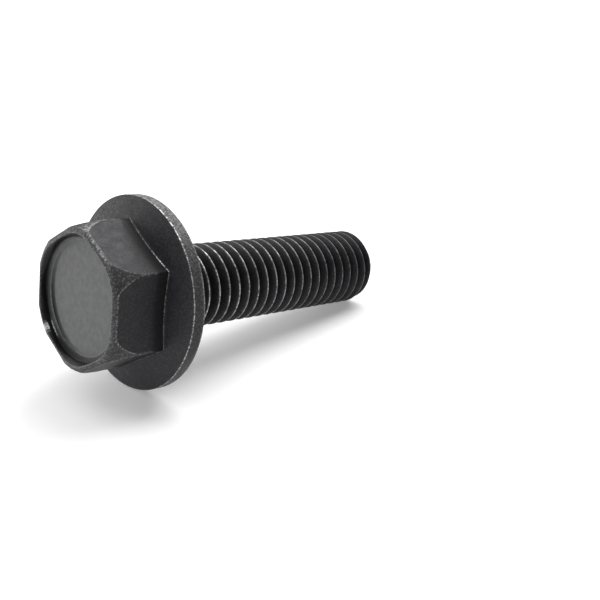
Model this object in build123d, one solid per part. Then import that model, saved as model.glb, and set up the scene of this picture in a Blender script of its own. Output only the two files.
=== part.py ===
from build123d import *
import os
from math import radians, sqrt, tan

# A hexagon flange bolt, M8 x 1.25, cold forged with its thread rolled on afterwards: one solid.
# Millimetres. It stands on its head: the raised lip of the head face rests on z = 0, the bolt's
# axis is +Z and the threaded end points up. Two corners of the hexagon lie on the X axis.

# Head
head_height = 7.2              # lip of the head face to the bearing face
across_flats = 12.0
hexagon_edge_radius = 0.2      # along the six upright edges
corner_taper_length = 3.2      # the corners round off over this length, up to the head face
corner_taper_depth = 0.65      # and are this much further in where the bevel begins
face_bevel_width = 0.36        # bevel between the flats and the lip
face_bevel_height = 0.2

# Recess in the head face, behind a lip that follows the hexagon
lip_width = 0.48               # flat of the hexagon to the edge of the recess
lip_corner_radius = 3.6
recess_depth = 0.66
recess_corner_slope = 36.0     # degrees that the wall leans inwards below the lip's corners
recess_wall_slope = 6.0        # degrees that the round wall leans inwards
floor_diameter = 10.0          # lower part of the recess, punched a little off centre
floor_offset = 0.4
floor_step = 0.08
floor_step_run = 0.16          # the step slopes down over this width

# Flange
flange_diameter = 17.7
flange_rim_thickness = 1.4
flange_slope = 14.5            # degrees of the cone between the rim and the hexagon
rim_head_edge_radius = 0.12
rim_bearing_edge_radius = 0.25
hexagon_root_radius = 0.2      # where the flats run out on the flange

# Shank. The thread's crests are its outline.
shank_length = 29.0            # bearing face to the end
thread_diameter = 8.0
neck_diameter = 7.35           # blank between the bearing face and the first thread
neck_length = 1.2
thread_run_out = 3.6           # bearing face to the first full crest
underhead_fillet = 0.45
point_diameter = 6.5
point_length = 1.05
point_edge = 0.12              # broken edge round the end
dish_diameter = 3.5            # shallow hollow in the end, a little off centre
dish_depth = 0.15
dish_offset = 0.4

bearing_height = head_height
end_height = bearing_height + shank_length
flange_radius = flange_diameter / 2
neck_radius = neck_diameter / 2
thread_radius = thread_diameter / 2
point_radius = point_diameter / 2
hexagon_corner_radius = across_flats / sqrt(3)


def flange_top(radius):
    """Height of the flange's cone at a distance from the axis."""
    rim_top = bearing_height - flange_rim_thickness
    return rim_top - (flange_radius - radius) * tan(radians(flange_slope))


def turned(outline):
    """The solid that an outline of (radius, height) makes when it is turned about the bolt's axis."""
    return revolve(make_face(Plane.XZ * outline), Axis.Z)


def hexagon(flats):
    """A hexagon with two corners on the X axis, given across its flats."""
    return RegularPolygon(flats / 2, 6, major_radius=False)


def rounded_hexagon(flats, corner_radius):
    sharp = hexagon(flats)
    return fillet(sharp.vertices(), corner_radius)


def hexagon_frustum(low_flats, low_corner_radius, height, widening):
    """A hexagon that grows by widening on every side, corner arcs included, up to its height."""
    low = rounded_hexagon(low_flats, low_corner_radius)
    high = rounded_hexagon(low_flats + 2 * widening, low_corner_radius + widening)
    return loft([low, Pos(0, 0, height) * high], ruled=True)


def flange_and_shank():
    """Flange cone, rim, bearing face, neck, thread envelope and point, as one turned solid."""
    corners = [
        (0, flange_top(0)),
        (flange_radius, bearing_height - flange_rim_thickness),
        (flange_radius, bearing_height),
        (neck_radius, bearing_height),
        (neck_radius, bearing_height + neck_length),
        (thread_radius, bearing_height + thread_run_out),
        (thread_radius, end_height - point_length),
        (point_radius, end_height - point_edge),
        (point_radius - point_edge, end_height),
        (0, end_height),
    ]
    radii = [0, rim_head_edge_radius, rim_bearing_edge_radius, underhead_fillet, 0, 0, 0, 0, 0, 0]
    return turned(FilletPolyline(*corners, radius=radii, close=True))


def hexagon_block():
    """The hexagon, with corners that round off towards the head face and a bevel along its flats."""
    height = flange_top(hexagon_corner_radius) + flange_rim_thickness / 2
    block = extrude(rounded_hexagon(across_flats, hexagon_edge_radius), height)
    bevel_widening = height * face_bevel_width / face_bevel_height
    bevel = hexagon_frustum(across_flats - 2 * face_bevel_width, hexagon_edge_radius, height, bevel_widening)
    shoulder = (hexagon_corner_radius - corner_taper_depth, face_bevel_height)
    face_edge = (shoulder[0] - face_bevel_width, 0)
    foot = (hexagon_corner_radius, corner_taper_length)
    rounding = Spline(foot, shoulder, tangents=[(0, -1), (-face_bevel_width, -face_bevel_height)])
    sides = Polyline(shoulder, face_edge, (0, 0), (0, height), (hexagon_corner_radius, height), foot)
    return block & bevel & turned(rounding + sides)


def recess():
    """What the forging punch leaves empty: a hexagonal mouth, a round pocket and a lower floor."""
    mouth_flats = across_flats - 2 * lip_width
    lean = recess_depth * tan(radians(recess_corner_slope))
    mouth = hexagon_frustum(mouth_flats, lip_corner_radius, recess_depth, -lean)
    mouth_radius = mouth_flats / 2
    foot_radius = mouth_radius - recess_depth * tan(radians(recess_wall_slope))
    pocket = turned(Polyline(
        (0, 0),
        (mouth_radius, 0),
        (foot_radius, recess_depth),
        (0, recess_depth),
        (0, 0),
    ))
    floor_radius = floor_diameter / 2
    floor = turned(Polyline(
        (0, 0),
        (floor_radius, 0),
        (floor_radius, recess_depth),
        (floor_radius - floor_step_run, recess_depth + floor_step),
        (0, recess_depth + floor_step),
        (0, 0),
    ))
    return mouth + pocket + Pos(-floor_offset, 0, 0) * floor


def end_dish():
    """A slice of a ball, sunk into the end."""
    half = dish_diameter / 2
    ball_radius = (half**2 + dish_depth**2) / (2 * dish_depth)
    return Pos(dish_offset, 0, end_height - dish_depth + ball_radius) * Sphere(ball_radius)


def flange_bolt():
    block = hexagon_block()
    body = flange_and_shank()
    bolt = block + body
    bolt = fillet(new_edges(block, body, combined=bolt), hexagon_root_radius)
    bolt = bolt - recess() - end_dish()
    bolt.label = "flange_bolt"
    return bolt


os.makedirs("parts", exist_ok=True)
export_step(flange_bolt(), "parts/flange_bolt.step")
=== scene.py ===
import math

import bpy
import numpy as np
from mathutils import Matrix, Vector, noise


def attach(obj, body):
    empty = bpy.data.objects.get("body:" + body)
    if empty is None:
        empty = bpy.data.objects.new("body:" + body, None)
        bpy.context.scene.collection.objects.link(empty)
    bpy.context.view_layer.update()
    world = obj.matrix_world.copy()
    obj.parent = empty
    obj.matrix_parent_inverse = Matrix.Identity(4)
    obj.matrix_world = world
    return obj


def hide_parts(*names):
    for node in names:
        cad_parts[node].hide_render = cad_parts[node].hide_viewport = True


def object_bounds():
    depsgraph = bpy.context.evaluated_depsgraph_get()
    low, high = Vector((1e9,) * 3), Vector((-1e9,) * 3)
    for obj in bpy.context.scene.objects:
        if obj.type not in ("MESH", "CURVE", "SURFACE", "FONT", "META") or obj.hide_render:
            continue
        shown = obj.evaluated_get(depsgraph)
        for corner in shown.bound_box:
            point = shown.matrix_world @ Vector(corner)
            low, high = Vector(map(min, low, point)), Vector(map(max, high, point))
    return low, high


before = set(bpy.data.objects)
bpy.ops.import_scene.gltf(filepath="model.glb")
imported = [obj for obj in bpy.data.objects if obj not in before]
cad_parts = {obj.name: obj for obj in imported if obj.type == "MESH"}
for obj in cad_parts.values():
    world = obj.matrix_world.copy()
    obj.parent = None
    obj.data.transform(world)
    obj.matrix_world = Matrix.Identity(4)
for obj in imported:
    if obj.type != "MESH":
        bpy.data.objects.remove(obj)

# A black hexagon flange bolt, M8 x 1.25. One mesh stands for the CAD solid: it has the solid's sizes,
# and adds the rolled thread, the longer rounding of the corners, the worn edges and the forging's small
# dents. Lengths are in millimetres up to the mesh, which is in metres. The bolt stands on its head, and
# +Z runs to the threaded end. Directions round the axis are in degrees: the hexagon's corners are at 0,
# 60, ..., and the camera sees the facets at 150, 210 and 270.

CAD_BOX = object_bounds()
MM = 0.001

# Head: the hexagon, its bevel and lip, and the recess with its second, off-centre step
HEAD_HEIGHT = 7.2
HALF_FLATS = 6.0
HEXAGON_EDGE = 0.2
TAPER_LENGTH = 3.7
TAPER_POWER = 2.2
TAPER_DEPTH = 0.65
BEVEL_WIDTH = 0.36
BEVEL_HEIGHT = 0.2
LIP_WIDTH = 0.48
LIP_CORNER = 3.6
RECESS_DEPTH = 0.66
RECESS_CORNER_SLOPE = math.radians(36)
RECESS_WALL_SLOPE = math.radians(6)
FLOOR_RADIUS = 5.1
FLOOR_OFFSET = 0.4
FLOOR_STEP = 0.08
FLOOR_STEP_RUN = 0.16
EDGE_SOFTNESS = 0.035
EDGE_SET_BACK = 0.008
# Flange
FLANGE_RADIUS = 8.85
RIM_THICKNESS = 1.4
FLANGE_SLOPE = math.radians(14.5)
RIM_HEAD_EDGE = 0.12
RIM_BEARING_EDGE = 0.25
ROOT_FILLET = 0.2
# Shank
SHANK_LENGTH = 29.0
THREAD_RADIUS = 4.0
PITCH = 1.25
NECK_RADIUS = 3.675
NECK_LENGTH = 0.7
RUN_OUT = 3.4
THREAD_PHASE = 0.65
UNDERHEAD_FILLET = 0.45
POINT_RADIUS = 3.25
POINT_LENGTH = 1.05
DISH_RADIUS = 1.75
DISH_DEPTH = 0.15
DISH_OFFSET = 0.4
# Wear, painted shade and painted light: the middle and the half width of each, in degrees round the axis
# wear, and painted shade from the step's shadow, on the ledge
LEDGE_WEAR_AND_SHADE = (8, 62)
# painted shade on the ledge's lower side
LEDGE_SHADE = (300, 42)
# a painted highlight along the foot of the recess wall
STREAK_HIGHLIGHT = (-13, 6)
# a painted highlight on the lip and the top of the recess wall
GLINT = (-9, 3.0)
SMOOTH_LIP = (30, 35)
WORN_CORNER = (126, 7)
FADED_LINE = (171, 9)
# a painted highlight along the fillet at the hexagon's root
FILLET_HIGHLIGHT = (170, 9)
TOP_FACET = 150
# scuffs on the cone, and painted light on its top left
CONE_SCUFFS_AND_LIGHT = (82, 24)
# the rim's wear, and painted light on its upper side
RIM_WEAR_AND_LIGHT = (108, 46)
# painted shade on the rim's lower side, where it has less grit
LOWER_RIM_SHADE = (235, 50)
# The forging's unevenness: how deep its waves and dents are pressed in
WAVE_DEPTH = 0.006
WAVE_SWING = 0.005
GRIT_DENTS = 0.03
EDGE_DENTS = 0.02
DENTED_UP_TO = HEAD_HEIGHT + 0.3

RIM_TOP = HEAD_HEIGHT - RIM_THICKNESS
END = HEAD_HEIGHT + SHANK_LENGTH
HEXAGON_CORNER = HALF_FLATS / math.cos(math.radians(30))


def smoothstep(value):
    t = np.clip(value, 0.0, 1.0)
    return t * t * (3 - 2 * t)


def soft_min(a, b, width):
    """The smaller of two lengths, with their crossing rounded over about that width."""
    h = np.clip(0.5 + 0.5 * (b - a) / width, 0.0, 1.0)
    return b * (1 - h) + a * h - width * h * (1 - h)


def column_angles():
    """Angles of the mesh's columns, closest together at the hexagon's corners, at 0, 60, ... degrees."""
    steps = [0, 0.35, 0.7, 1.05, 1.5, 2.1, 3.0, 4.3, 6.2, 8.8, 11.8, 15.0, 18.6, 22.3, 26.1]
    half = np.array(steps)
    sector = np.concatenate([half, [30.0], 60.0 - half[:0:-1]])
    return np.radians(np.concatenate([sector + 60 * k for k in range(6)]))


THETA = column_angles()
COLUMNS = len(THETA)
FROM_CORNER = np.abs((THETA + math.radians(30)) % math.radians(60) - math.radians(30))


def hexagon_radius(half_flats, corner_radius):
    """Distance from the axis to a hexagon with rounded corners, for every column."""
    centre = (half_flats - corner_radius) / math.cos(math.radians(30))
    tangent = math.atan2(corner_radius * 0.5, centre + corner_radius * math.cos(math.radians(30)))
    flat = half_flats / np.cos(math.radians(30) - FROM_CORNER)
    reach = np.maximum(corner_radius**2 - (centre * np.sin(FROM_CORNER)) ** 2, 0)
    arc = centre * np.cos(FROM_CORNER) + np.sqrt(reach)
    return np.where(FROM_CORNER < tangent, arc, flat)


def flange_top(radius):
    """Height of the flange's sloping top at a distance from the axis."""
    return RIM_TOP - (FLANGE_RADIUS - radius) * math.tan(FLANGE_SLOPE)


def corner_rounding():
    """(radius, height) along the turned rounding, from the bevel to where the corners stand full."""
    height = np.linspace(BEVEL_HEIGHT, TAPER_LENGTH, 200)
    left = (TAPER_LENGTH - height) / (TAPER_LENGTH - BEVEL_HEIGHT)
    return HEXAGON_CORNER - TAPER_DEPTH * left**TAPER_POWER, height


class Surface:
    """Rings of the mesh, from the middle of the recess to the middle of the threaded end.

    Each ring also says its wear and its painted light and shade: edge is bare metal, which also gives
    painted highlights, grit rough and pitted, the shade mask painted shade in hollows, punched dust and
    painted light on the recess floor, and crest polish on the thread's crests, partly a painted highlight.
    """

    def __init__(self):
        self.rows = []

    def ring(self, radius, height, edge=0.0, grit=0.0, painted_shade=0.0, punched=0.0, crest=0.0):
        one = np.ones(COLUMNS)
        self.rows.append([value * one for value in (radius, height, edge, grit, painted_shade, punched, crest)])


def near_angle(centre, width):
    """1 at an angle round the axis, in degrees, falling off to nothing over about twice the width."""
    away = (THETA - math.radians(centre) + math.pi) % (2 * math.pi) - math.pi
    return np.exp(-((away / math.radians(width)) ** 2))


def floor_ring(reach):
    """Distance from the axis to a circle round the middle of the recess floor, which is off the axis."""
    shift = FLOOR_OFFSET * min(1.0, reach / 3.0)
    return np.sqrt(np.maximum(reach**2 - (shift * np.sin(THETA)) ** 2, 0)) - shift * np.cos(THETA)


def add_recess(surface):
    """From the middle of the recess floor, over its step and ledge and up the wall, to the lip."""
    foot = HALF_FLATS - LIP_WIDTH - RECESS_DEPTH * math.tan(RECESS_WALL_SLOPE)
    floor_limit = foot - 0.1
    # The ledge round the floor is widest toward 0 degrees. Its wear and painted shade are strongest there.
    wide_side = near_angle(*LEDGE_WEAR_AND_SHADE)
    shade_width = 0.3 + 0.38 * wide_side
    for reach in (0.0, 0.7, 1.5, 2.3, 3.0, 3.5, 3.9, *np.linspace(4.2, FLOOR_RADIUS - 0.02, 14)):
        below = smoothstep((FLOOR_RADIUS - reach) / FLOOR_STEP_RUN)
        # shade is painted shade: the step's shadow darkens the floor toward its edge.
        shade = wide_side * smoothstep((reach - FLOOR_RADIUS + shade_width) / (shade_width * 0.5))
        radius = np.minimum(floor_ring(reach), floor_limit - 0.1 * (FLOOR_RADIUS - reach))
        # The floor's grey is dust, and lighter as painted light.
        surface.ring(radius, RECESS_DEPTH + FLOOR_STEP * below, painted_shade=shade, punched=1.0)
    ledge_start = np.minimum(floor_ring(FLOOR_RADIUS), floor_limit)
    # Painted shade darkens the ledge on the recess's lower side.
    ledge_shade = 0.9 * near_angle(*LEDGE_SHADE)
    ledge = ((0, 0.14, 0.5), (0.12, 0.20, 0.6), (0.3, 0.02, 0.3), (0.6, 0, 0.25), (0.85, 0, 0.2))
    for share, edge, punched in ledge:
        radius = ledge_start + (foot - 0.06 - ledge_start) * share
        # Off the wide side the ledge takes the floor's grey and its painted light.
        pale = punched * wide_side + 0.9 * (1 - wide_side)
        surface.ring(radius, RECESS_DEPTH, edge=edge * wide_side, painted_shade=ledge_shade, punched=pale)
    # A painted highlight makes a thin bright line along the foot of the wall; elsewhere the foot is painted
    # shade.
    streak_highlight = 4.0 * near_angle(*STREAK_HIGHLIGHT)
    surface.ring(foot - 0.06, RECESS_DEPTH - 0.012, edge=streak_highlight, painted_shade=0.5)
    surface.ring(foot - 0.02, RECESS_DEPTH - 0.03, edge=streak_highlight, painted_shade=0.9)
    mouth_flats = HALF_FLATS - LIP_WIDTH
    # blob is a painted highlight: bright metal spots on the lip and the top of the wall.
    blob = 3.5 * near_angle(*GLINT)
    # The wall darkens as painted shade the deeper it goes.
    for depth in np.linspace(RECESS_DEPTH - 0.06, 0.06, 9):
        lean = depth * math.tan(RECESS_CORNER_SLOPE)
        hexagonal = hexagon_radius(mouth_flats - lean, LIP_CORNER - lean)
        round_wall = mouth_flats - depth * math.tan(RECESS_WALL_SLOPE)
        wall = -soft_min(-hexagonal, -round_wall * np.ones(COLUMNS), 0.08)
        low = smoothstep((depth - 0.05) / 0.3)
        surface.ring(wall, depth, edge=blob * (depth < 0.3), grit=0.3 * (1 - low), painted_shade=0.95 * low)
    mouth = hexagon_radius(mouth_flats, LIP_CORNER)
    worn_lip = 0.25 - 0.15 * near_angle(*SMOOTH_LIP)
    surface.ring(mouth + 0.015, 0.02, edge=worn_lip + blob, grit=1.0)
    surface.ring(mouth + 0.05, 0.004, edge=worn_lip + blob, grit=1.0)


def add_hexagon(surface):
    """The lip's face, the bevel, the rounded corners, the facets and the fillet at their root."""
    sharp = hexagon_radius(HALF_FLATS, HEXAGON_EDGE)
    turned_radius, turned_height = corner_rounding()
    shoulder_radius = turned_radius[0]
    face_edge = soft_min(
        hexagon_radius(HALF_FLATS - BEVEL_WIDTH, HEXAGON_EDGE),
        (shoulder_radius - BEVEL_WIDTH) * np.ones(COLUMNS),
        0.06,
    )
    shoulder = np.minimum(sharp, shoulder_radius)
    # glint is a painted highlight: bright metal spots on the lip's face and bevel.
    glint = 3.0 * near_angle(*GLINT)
    upper = near_angle(*WORN_CORNER)
    surface.ring(face_edge - 0.02, 0.004, edge=0.1 + glint, grit=0.7)
    surface.ring(face_edge + 0.04, 0.03, edge=0.1 + glint, grit=0.7)
    beside_top = smoothstep(1.4 - np.abs(np.degrees(THETA) - TOP_FACET) / 19)
    for share in (0.35, 0.6, 0.85):
        surface.ring(
            face_edge + (shoulder - face_edge) * share,
            BEVEL_HEIGHT * share,
            edge=glint + 1.5 * beside_top * share**4,
            grit=1.0,
        )
    top = np.where(
        sharp > shoulder_radius,
        np.interp(sharp, turned_radius, turned_height),
        BEVEL_HEIGHT,
    )
    low_end = np.maximum(top - EDGE_SOFTNESS, BEVEL_HEIGHT)
    line = 1 - 0.85 * near_angle(*FADED_LINE)
    for share in np.linspace(0, 1, 13):
        height = BEVEL_HEIGHT + (low_end - BEVEL_HEIGHT) * share
        radius = np.minimum(np.interp(height, turned_height, turned_radius), sharp)
        near = smoothstep((share - 0.6) / 0.4)
        surface.ring(radius, height, edge=0.15 * near * line + 0.55 * upper, grit=0.9 - 0.4 * near)
    set_back = EDGE_SET_BACK * smoothstep((sharp - shoulder_radius) / 0.05)
    at_top = np.minimum(np.interp(top, turned_height, turned_radius), sharp)
    surface.ring(at_top - set_back, top, edge=line, grit=0.4)
    surface.ring(sharp, top + EDGE_SOFTNESS, edge=0.4 * line, grit=0.2)
    root = flange_top(sharp)
    upright = np.exp(-((FROM_CORNER / math.radians(0.9)) ** 2))
    foot = root - ROOT_FILLET * (1 - math.sin(FLANGE_SLOPE)) / math.cos(FLANGE_SLOPE)
    first = top + EDGE_SOFTNESS
    for share in (0.04, 0.12, 0.24, 0.38, 0.52, 0.62, 0.68, 0.73, 0.78, 0.84, 0.92, 1.0):
        height = first + (foot - first) * share
        # Near the root the facets darken as painted shade.
        shaded = smoothstep((height - foot + 1.15) / 0.25)
        surface.ring(sharp, height, edge=0.25 * upright * (1 - shaded), painted_shade=0.75 * shaded)
    # Along the root fillet bare metal makes a painted highlight line, brightest near 170 degrees.
    fillet_highlight = near_angle(*FILLET_HIGHLIGHT)
    centre_radius = sharp + ROOT_FILLET
    centre_height = flange_top(centre_radius) - ROOT_FILLET / math.cos(FLANGE_SLOPE)
    last_turn = 90 + math.degrees(FLANGE_SLOPE)
    # The fillet's rings: turn in degrees, painted highlight, and painted shade nearest the facets.
    fillet = (
        (172, 0.1, 0.7), (160, 0.9, 0.3), (148, 0.4, 0.1), (140, 0, 0), (122, 0, 0), (last_turn, 0, 0),
    )
    for turn, highlight, shade in fillet:
        radius = centre_radius + ROOT_FILLET * math.cos(math.radians(turn))
        height = centre_height + ROOT_FILLET * math.sin(math.radians(turn))
        surface.ring(radius, height, edge=highlight * (0.4 + 1.8 * fillet_highlight), painted_shade=shade)
    return centre_radius + ROOT_FILLET * math.cos(math.radians(90) + FLANGE_SLOPE)


def add_flange(surface, start):
    """The sloping top, the rim with its broken edges, the bearing face and the underhead fillet."""
    outer = FLANGE_RADIUS - RIM_HEAD_EDGE
    for share in (0.03, 0.08, 0.18, 0.32, 0.48, 0.64, 0.78, 0.88, 0.95):
        radius = start + (outer - 0.1 - start) * share
        # Scuffs on the cone, which also lighten its top left as painted light.
        surface.ring(radius, flange_top(radius), grit=0.7 * near_angle(*CONE_SCUFFS_AND_LIGHT))
    high = flange_top(outer)
    for turn in np.linspace(0, 1, 6):
        angle = math.radians(90) * turn
        radius = outer + RIM_HEAD_EDGE * math.sin(angle)
        height = high + 0.03 + RIM_HEAD_EDGE * (1 - math.cos(angle)) * 1.1
        surface.ring(radius, height, edge=1.4 * smoothstep((turn - 0.55) / 0.4), grit=0.5 * turn)
    low = HEAD_HEIGHT - RIM_BEARING_EDGE
    # Bare metal on the rim is wear; more of it on the upper side is painted light,
    rim_wear_and_light = 0.62 * near_angle(*RIM_WEAR_AND_LIGHT)
    # and less grit on the lower side makes that side darker as painted shade.
    rough_side = 0.9 - 0.5 * near_angle(*LOWER_RIM_SHADE)
    surface.ring(FLANGE_RADIUS, RIM_TOP + 0.19, edge=0.3 + rim_wear_and_light, grit=rough_side)
    for height in np.linspace(RIM_TOP + 0.25, low - 0.05, 8):
        surface.ring(FLANGE_RADIUS, height, edge=rim_wear_and_light, grit=rough_side)
    for turn in np.linspace(0, 90, 7):
        angle = math.radians(turn)
        radius = FLANGE_RADIUS - RIM_BEARING_EDGE * (1 - math.cos(angle))
        surface.ring(radius, low + RIM_BEARING_EDGE * math.sin(angle), edge=0.4, grit=0.7)
    fillet_edge = NECK_RADIUS + UNDERHEAD_FILLET
    for radius in (8.5, 8.1, 7.4, 6.6, 5.8, 5.0, 4.4, 4.2):
        surface.ring(radius, HEAD_HEIGHT, grit=0.3)
    # The fillet under the head is darkened a little as painted shade.
    for turn in np.linspace(0, 90, 6):
        angle = math.radians(turn)
        radius = fillet_edge - UNDERHEAD_FILLET * math.sin(angle)
        height = HEAD_HEIGHT + UNDERHEAD_FILLET * (1 - math.cos(angle))
        surface.ring(radius, height, edge=0.3, painted_shade=0.2)


# Half a pitch of the thread's section, from the crest to the root: (share of the pitch, depth in mm)
THREAD_SECTION = [
    (0.0, 0.0),
    (0.035, 0.003),
    (0.065, 0.022),
    (0.10, 0.075),
    (0.19, 0.262),
    (0.28, 0.457),
    (0.36, 0.625),
    (0.41, 0.715),
    (0.5, 0.765),
]


def thread_section():
    """(share of a pitch, depth) over one whole pitch, crest in the middle."""
    left = [(-share, depth) for share, depth in THREAD_SECTION[:0:-1]]
    return left + THREAD_SECTION[:-1]


def thread_radius(height, depth):
    """Distance from the axis at a height, for a point that lies at a depth under the full crest."""
    above = height - HEAD_HEIGHT
    grown = smoothstep((above - NECK_LENGTH) / (RUN_OUT - NECK_LENGTH))
    threaded = NECK_RADIUS + grown * (THREAD_RADIUS - depth - NECK_RADIUS)
    slope = (THREAD_RADIUS - POINT_RADIUS) / POINT_LENGTH
    point = POINT_RADIUS + (END - height) * slope
    return soft_min(threaded, point, 0.06)


def add_thread(surface):
    """The right-hand helix. Its rows climb one pitch a turn, and are cut level at both ends."""
    section = thread_section()
    start = HEAD_HEIGHT + UNDERHEAD_FILLET + 0.05
    stop = END - 0.12
    turns = math.ceil((stop - start) / PITCH) + 2
    first = len(surface.rows)
    shares, depths = zip(*THREAD_SECTION)
    for turn in range(-2, turns):
        for share, depth in section:
            height = start + (turn + share + THREAD_PHASE) * PITCH + PITCH * THETA / (2 * math.pi)
            inside = np.clip(height, start, stop)
            climbed = (inside - height) / PITCH + share
            cut_depth = np.interp(np.abs(climbed - np.round(climbed)), shares, depths)
            radius = thread_radius(inside, np.where(inside == height, depth, cut_depth))
            # Crests are bare metal, partly a painted highlight, and dimmer toward the end as painted light.
            crest = math.exp(-((share / 0.054) ** 2))
            full = smoothstep((inside - HEAD_HEIGHT - 1.0) / 2.4)
            crest_light_fade = 1.35 - 1.25 * (inside - HEAD_HEIGHT) / SHANK_LENGTH
            # The thread's roots are darkened as painted shade.
            painted_shade = 0.85 * smoothstep((depth - 0.1) / 0.6)
            surface.ring(radius, inside, crest=crest * full * crest_light_fade, painted_shade=painted_shade * full)
    return first, len(surface.rows), len(section)


def add_point(surface):
    """The end: its edge, a thin lapped ring left by the rolling, and a shallow off-centre dish."""
    surface.ring(3.29, END - 0.06, edge=0.3)
    surface.ring(3.2, END - 0.01, edge=0.4)
    surface.ring(3.08, END, edge=0.3)
    # The small dip inside the lapped ring is darkened as painted shade.
    surface.ring(2.98, END - 0.03, painted_shade=0.8)
    surface.ring(2.9, END - 0.035, painted_shade=0.8)
    surface.ring(2.78, END - 0.005, edge=0.3)
    for radius in np.concatenate([[2.68], np.linspace(2.5, 0.2, 20), [0.0]]):
        x, y = radius * np.cos(THETA) - DISH_OFFSET, radius * np.sin(THETA)
        sunk = smoothstep(1.15 - np.hypot(x, y) / DISH_RADIUS)
        surface.ring(radius, END - 0.003 - DISH_DEPTH * sunk, grit=0.3)


def bolt_mesh():
    """One closed mesh from all the rings, with wear, painted shade and light kept as numbers on its points.
    """
    surface = Surface()
    add_recess(surface)
    cone_start = add_hexagon(surface)
    add_flange(surface, cone_start)
    helix_first, helix_last, helix_step = add_thread(surface)
    add_point(surface)
    table = np.array(surface.rows)
    radius, height = table[:, 0], table[:, 1]
    points = np.stack([radius * np.cos(THETA), radius * np.sin(THETA), height], axis=-1).reshape(-1, 3)
    rows = len(surface.rows)
    # Rows of the helix meet the row one pitch further on where the columns close round the axis.
    index = np.arange(rows * COLUMNS).reshape(rows, COLUMNS)
    nxt = np.roll(index, -1, axis=1)
    for row in range(helix_first, helix_last):
        ahead = min(row + helix_step, helix_last - 1)
        nxt[row, -1] = index[ahead, 0]
    quads = np.stack([index[:-1], nxt[:-1], nxt[1:], index[1:]], axis=-1).reshape(-1, 4)
    keys = np.round(points * 10000).astype(np.int64)
    _, kept, merged = np.unique(keys, axis=0, return_index=True, return_inverse=True)
    merged = merged.reshape(-1)
    faces = []
    for quad in merged[quads]:
        face = []
        for corner in quad.tolist():
            if corner not in face:
                face.append(corner)
        if len(face) >= 3:
            faces.append(face)
    mesh = bpy.data.meshes.new("flange_bolt_steel")
    mesh.from_pydata((points[kept] * MM).tolist(), [], faces)
    for name, column in (("edge", 2), ("grit", 3), ("painted_shade", 4), ("punched", 5), ("crest", 6)):
        layer = mesh.attributes.new(name, "FLOAT", "POINT")
        layer.data.foreach_set("value", table[:, column].reshape(-1)[kept].astype(np.float32))
    mesh.validate()
    mesh.polygons.foreach_set("use_smooth", [True] * len(mesh.polygons))
    mesh.update()
    return mesh


def wear_surface(mesh):
    """Presses small dents and a forged waviness into the mesh, always inwards."""
    count = len(mesh.vertices)
    points = np.zeros(count * 3)
    normals = np.zeros(count * 3)
    grit = np.zeros(count)
    edge = np.zeros(count)
    mesh.vertices.foreach_get("co", points)
    mesh.vertices.foreach_get("normal", normals)
    mesh.attributes["grit"].data.foreach_get("value", grit)
    mesh.attributes["edge"].data.foreach_get("value", edge)
    points, normals = points.reshape(-1, 3), normals.reshape(-1, 3)
    push = np.zeros(count)
    for i, point in enumerate(points / MM):
        if point[2] > DENTED_UP_TO:
            continue
        place = Vector(point)
        coarse = noise.noise(place * 1.1) + 0.5 * noise.noise(place * 2.6)
        fine = abs(noise.noise(place * 5.5 + Vector((7, 3, 1))))
        push[i] = WAVE_DEPTH + WAVE_SWING * coarse + (grit[i] * GRIT_DENTS + edge[i] * EDGE_DENTS) * fine
    # No vertex moves further than a part of its shortest edge, so that nothing folds over.
    ends = np.zeros(len(mesh.edges) * 2, dtype=np.int64)
    mesh.edges.foreach_get("vertices", ends)
    ends = ends.reshape(-1, 2)
    length = np.linalg.norm(points[ends[:, 0]] - points[ends[:, 1]], axis=1) / MM
    shortest = np.full(count, 1.0)
    for side in (0, 1):
        np.minimum.at(shortest, ends[:, side], length)
    push = np.clip(push, 0, 0.4 * shortest)
    moved = points - normals * (push * MM)[:, None]
    low, high = np.array(CAD_BOX[0]), np.array(CAD_BOX[1])
    mesh.vertices.foreach_set("co", np.clip(moved, low, high).reshape(-1))
    mesh.update()


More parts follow.
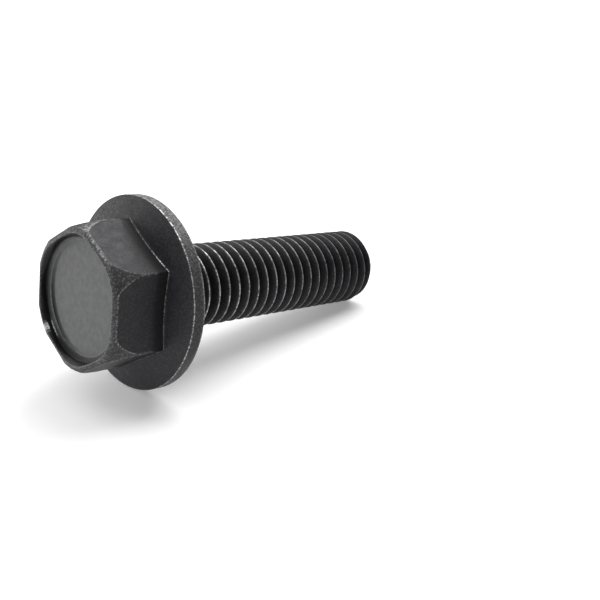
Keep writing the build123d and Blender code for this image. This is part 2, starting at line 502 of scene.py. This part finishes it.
class Nodes:
    """Builds the nodes of one material or of the world."""

    def __init__(self, owner):
        owner.use_nodes = True
        self.tree = owner.node_tree
        self.tree.nodes.clear()

    def make(self, kind, **settings):
        made = self.tree.nodes.new(kind)
        for name, value in settings.items():
            setattr(made, name, value)
        return made

    def feed(self, socket, value):
        """Links a node's output to the socket, or sets the number or colour on it."""
        if isinstance(value, bpy.types.NodeSocket):
            self.tree.links.new(value, socket)
        elif isinstance(value, tuple):
            socket.default_value = (*value, 1.0)
        else:
            socket.default_value = value

    def shader(self, kind, *shaders, **inputs):
        """A shader node, fed with other shaders in order or with its inputs by name."""
        made = self.make(kind)
        for socket, value in zip(made.inputs, shaders):
            self.feed(socket, value)
        for name, value in inputs.items():
            self.feed(made.inputs[name.replace("_", " ")], value)
        return made.outputs[0]

    def math(self, operation, a, b, clamp=False):
        made = self.make("ShaderNodeMath", operation=operation, use_clamp=clamp)
        self.feed(made.inputs[0], a)
        self.feed(made.inputs[1], b)
        return made.outputs[0]

    def cloud(self, scale, detail, roughness=0.55):
        made = self.make("ShaderNodeTexNoise")
        made.inputs["Scale"].default_value = scale
        made.inputs["Detail"].default_value = detail
        made.inputs["Roughness"].default_value = roughness
        self.feed(made.inputs["Vector"], self.make("ShaderNodeTexCoord").outputs["Object"])
        return made.outputs["Fac"]

    def ramp(self, value, low, high, to_low=0.0, to_high=1.0):
        made = self.make("ShaderNodeMapRange", interpolation_type="SMOOTHSTEP")
        self.feed(made.inputs["Value"], value)
        for name, number in zip(("From Min", "From Max", "To Min", "To Max"), (low, high, to_low, to_high)):
            made.inputs[name].default_value = number
        return made.outputs["Result"]

    def blend(self, factor, a, b):
        made = self.make("ShaderNodeMix", data_type="RGBA")
        self.feed(made.inputs["Factor"], factor)
        for name, colour in (("A", a), ("B", b)):
            self.feed([s for s in made.inputs if s.name == name and s.type == "RGBA"][0], colour)
        return [s for s in made.outputs if s.type == "RGBA"][0]

    def mask(self, name):
        return self.make("ShaderNodeAttribute", attribute_name=name).outputs["Fac"]


# The finish, as linear colours: black oxide in its two tones, where it is thin, grey with dust in the
# recess and lighter there as painted light, roughened, pitted through, black as painted shade in hollows,
# and bare metal, which also makes the painted highlights
OXIDE_BLUISH = (0.0160, 0.0157, 0.0185)
OXIDE_BLACK = (0.0130, 0.0127, 0.0165)
OXIDE_THIN = (0.026, 0.026, 0.027)
OXIDE_SPECK = (0.055, 0.055, 0.055)
DUST_AND_LIGHT_DARK = (0.100, 0.104, 0.100)
DUST_AND_LIGHT_PALE = (0.135, 0.140, 0.135)
ROUGHENED = (0.040, 0.040, 0.041)
PITTED = (0.20, 0.20, 0.195)
SHADE_BLACK = (0.003, 0.003, 0.0035)
BARE_METAL = (0.52, 0.52, 0.51)
COAT_IOR = 1.28


def black_steel():
    """Black oxide over forged steel: dark satin, grey bare metal on edges, crests and the lip,
    with painted shade in hollows and painted highlights.
    """
    material = bpy.data.materials.new("black_steel")
    nodes = Nodes(material)
    math_node, ramp, blend = nodes.math, nodes.ramp, nodes.blend
    edge, grit, painted_shade, punched, crest = map(nodes.mask, ("edge", "grit", "painted_shade", "punched", "crest"))
    broad = nodes.cloud(260.0, 3.0)
    mottle = nodes.cloud(1500.0, 4.0)
    speck = nodes.cloud(5600.0, 2.0, 0.7)
    scuff = nodes.cloud(5200.0, 2.0, 0.65)

    coat = blend(ramp(broad, 0.35, 0.65), OXIDE_BLUISH, OXIDE_BLACK)
    coat = blend(ramp(mottle, 0.45, 0.75, 0.0, 0.4), coat, OXIDE_THIN)
    coat = blend(ramp(speck, 0.42, 0.70, 0.0, 0.4), coat, OXIDE_SPECK)
    # Dust on the recess floor, mottled, and lighter than the coat as painted light.
    dust_and_light = blend(ramp(mottle, 0.35, 0.65), DUST_AND_LIGHT_DARK, DUST_AND_LIGHT_PALE)
    coat = blend(math_node("MULTIPLY", punched, 0.75), coat, dust_and_light)
    coat = blend(math_node("MULTIPLY", grit, 0.8), coat, ROUGHENED)
    gritty = math_node("MULTIPLY", grit, ramp(speck, 0.46, 0.70), True)
    coat = blend(math_node("MULTIPLY", gritty, 0.45), coat, PITTED)
    # Painted shade: hollows, creases and the deep recess are darkened toward black.
    coat = blend(painted_shade, coat, SHADE_BLACK)

    # Bare metal: wear on edges, and the painted highlights placed with the edge mask.
    bare_and_highlight = math_node("MULTIPLY", edge, ramp(scuff, 0.40, 0.62, 0.05, 1.0), True)
    # Crests: polish, partly a painted highlight, dimmer toward the end as painted light.
    polish_and_highlight = math_node("MULTIPLY", crest, ramp(scuff, 0.34, 0.62, 0.3, 1.0), True)
    polish_and_highlight = math_node("MULTIPLY", polish_and_highlight, ramp(mottle, 0.40, 0.56, 0.5, 1.2), True)
    bare_and_highlight = math_node("MAXIMUM", bare_and_highlight, polish_and_highlight)

    roughness = math_node("ADD", ramp(mottle, 0.3, 0.7, 0.40, 0.54), math_node("MULTIPLY", grit, 0.08))
    bump = nodes.make("ShaderNodeBump")
    bump.inputs["Strength"].default_value = 0.35
    bump.inputs["Distance"].default_value = 0.00003
    unevenness = math_node("ADD", math_node("MULTIPLY", mottle, 0.6), math_node("MULTIPLY", speck, 0.4))
    nodes.feed(bump.inputs["Height"], unevenness)

    steel = nodes.shader(
        "ShaderNodeBsdfPrincipled",
        IOR=COAT_IOR,
        Base_Color=blend(bare_and_highlight, coat, BARE_METAL),
        Roughness=roughness,
        Metallic=math_node("MULTIPLY", bare_and_highlight, 0.9),
        Normal=bump.outputs["Normal"],
    )
    nodes.feed(nodes.make("ShaderNodeOutputMaterial").inputs["Surface"], steel)
    return material


def link_object(name, data):
    made = bpy.data.objects.new(name, data)
    bpy.context.scene.collection.objects.link(made)
    return made


bolt = link_object("flange_bolt_dressed", bolt_mesh())
wear_surface(bolt.data)
bolt.data.materials.append(black_steel())
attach(bolt, "root")
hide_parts("flange_bolt")

# The table that the bolt lies on in the view of the camera: it touches the flange's rim and the last
# thread crest. Seen from the bolt's frame it stands almost upright, so it is shown from its bolt side only.
TABLE_AZIMUTH = math.radians(122.06)
TABLE_TILT = math.radians(9.776)
TABLE_HALF_WIDTH = 0.9
TABLE_COLOUR = (0.75, 0.75, 0.75)
TABLE_GLOW = 0.27
GLOW_GROWS_FROM, GLOW_GROWS_TO = 0.03, 0.14
WHITE = (1.0, 1.0, 1.0)
outward = Vector((math.cos(TABLE_AZIMUTH), math.sin(TABLE_AZIMUTH), 0.0))
axis = Vector((0.0, 0.0, 1.0))
up = (outward * math.cos(TABLE_TILT) - axis * math.sin(TABLE_TILT)).normalized()
along = (outward * math.sin(TABLE_TILT) + axis * math.cos(TABLE_TILT)).normalized()
across = up.cross(along)
under_head = axis * (HEAD_HEIGHT * MM) - up * (FLANGE_RADIUS * MM * math.cos(TABLE_TILT))


def on_table(forward, sideways, above):
    """A point given from the spot under the head: along the shank, across it and above the table."""
    return under_head + along * forward + across * sideways + up * above


def plane(name, centre, right, ahead, half):
    """A square, given by its middle, two directions and half its width."""
    corners = [right * (x * half) + ahead * (y * half) for x, y in ((-1, -1), (1, -1), (1, 1), (-1, 1))]
    mesh = bpy.data.meshes.new(name)
    mesh.from_pydata([tuple(c) for c in corners], [], [(0, 1, 2, 3)])
    mesh.update()
    made = link_object(name, mesh)
    made.location = centre
    return made


def pale_surface(name, colour, glow):
    """A matt pale surface that shows from its front only and lets lamps through, but takes shadows."""
    material = bpy.data.materials.new(name)
    nodes = Nodes(material)
    path = nodes.make("ShaderNodeLightPath").outputs
    seen = nodes.math("MAXIMUM", path["Is Camera Ray"], path["Is Glossy Ray"])
    reach = nodes.make("ShaderNodeVectorMath", operation="LENGTH")
    nodes.feed(reach.inputs[0], nodes.make("ShaderNodeTexCoord").outputs["Object"])
    outwards = nodes.ramp(reach.outputs["Value"], GLOW_GROWS_FROM, GLOW_GROWS_TO, glow, 1.0)
    diffuse = nodes.shader("ShaderNodeBsdfDiffuse", Color=colour)
    shine = nodes.math("MULTIPLY", seen, outwards)
    emission = nodes.shader("ShaderNodeEmission", Color=WHITE, Strength=shine)
    lit = nodes.shader("ShaderNodeAddShader", diffuse, emission)
    behind = nodes.make("ShaderNodeNewGeometry").outputs["Backfacing"]
    hidden = nodes.math("MAXIMUM", behind, path["Is Shadow Ray"])
    clear = nodes.shader("ShaderNodeBsdfTransparent")
    surface = nodes.shader("ShaderNodeMixShader", hidden, lit, clear)
    nodes.feed(nodes.make("ShaderNodeOutputMaterial").inputs["Surface"], surface)
    return material


table_top = plane("table", on_table(0, 0, 0), across, along * -1, TABLE_HALF_WIDTH)
table_top.data.materials.append(pale_surface("table_white", TABLE_COLOUR, TABLE_GLOW))


def world_light(level):
    """An even, weak light from all round that the camera sees as white; reflections see it weak."""
    world = bpy.data.worlds.new("studio")
    bpy.context.scene.world = world
    nodes = Nodes(world)
    path = nodes.make("ShaderNodeLightPath").outputs
    seen = nodes.math("MAXIMUM", path["Is Camera Ray"], path["Is Transmission Ray"])
    strength = nodes.ramp(seen, 0.0, 1.0, level, 1.0)
    background = nodes.shader("ShaderNodeBackground", Color=WHITE, Strength=strength)
    nodes.feed(nodes.make("ShaderNodeOutputWorld").inputs["Surface"], background)


def soft_lamp(name, place, target, size, power):
    light = bpy.data.lights.new(name, "AREA")
    light.shape = "DISK"
    light.size = size
    light.energy = power
    lamp = link_object(name, light)
    lamp.location = place
    lamp.rotation_mode = "QUATERNION"
    lamp.rotation_quaternion = (target - place).to_track_quat("-Z", "Y")


WORLD_LEVEL = 0.1
LAMP_DISTANCE = 0.35
LAMP_TARGET = on_table(0.010, 0.0, 0.005)
# name, azimuth from along the shank, elevation over the table, size in metres, power in watts. The two
# last ones stand under the one-sided table and light the side of the bolt that faces it.
LAMPS = [
    ("key", 168, 46, 0.34, 0.25),
    ("overhead", 90, 75, 0.46, 0.60),
    ("ahead", 3, 56, 0.31, 1.40),
    ("left", 110, 48, 0.34, 0.36),
    ("low_left", 118, 20, 0.20, 0.36),
    ("under_head", 170, -24, 0.36, 0.75),
    ("under_shank", 40, -40, 0.36, 0.35),
]

world_light(WORLD_LEVEL)
for lamp_name, azimuth, elevation, size, power in LAMPS:
    a, e = math.radians(azimuth), math.radians(elevation)
    aim = along * (math.cos(a) * math.cos(e)) + across * (math.sin(a) * math.cos(e)) + up * math.sin(e)
    soft_lamp(lamp_name, LAMP_TARGET + aim * LAMP_DISTANCE, LAMP_TARGET, size, power)

# Camera, placed from the spot under the head: forward, sideways and above the table, in metres
HEADING, DOWN, ROLL = math.radians(44.04), math.radians(23.37), math.radians(0.97)
CAMERA_SPOT = on_table(-0.04071, -0.05924, 0.0386)
LENS = 50.43
SENSOR_WIDTH = 36.0
look = (
    along * (math.cos(HEADING) * math.cos(DOWN))
    + across * (math.sin(HEADING) * math.cos(DOWN))
    - up * math.sin(DOWN)
)
side = look.cross(up).normalized()
head_up = side.cross(look)
camera_right = side * math.cos(ROLL) + head_up * math.sin(ROLL)
camera_up = head_up * math.cos(ROLL) - side * math.sin(ROLL)
pose = Matrix((camera_right, camera_up, -look)).transposed().to_4x4()
pose.translation = CAMERA_SPOT
camera_data = bpy.data.cameras.new("camera")
camera_data.lens = LENS
camera_data.sensor_width = SENSOR_WIDTH
camera_data.clip_start = 0.005
camera_data.clip_end = 5.0
camera = link_object("camera", camera_data)
camera.matrix_world = pose
bpy.context.scene.camera = camera
bpy.context.scene.view_settings.view_transform = "Standard"
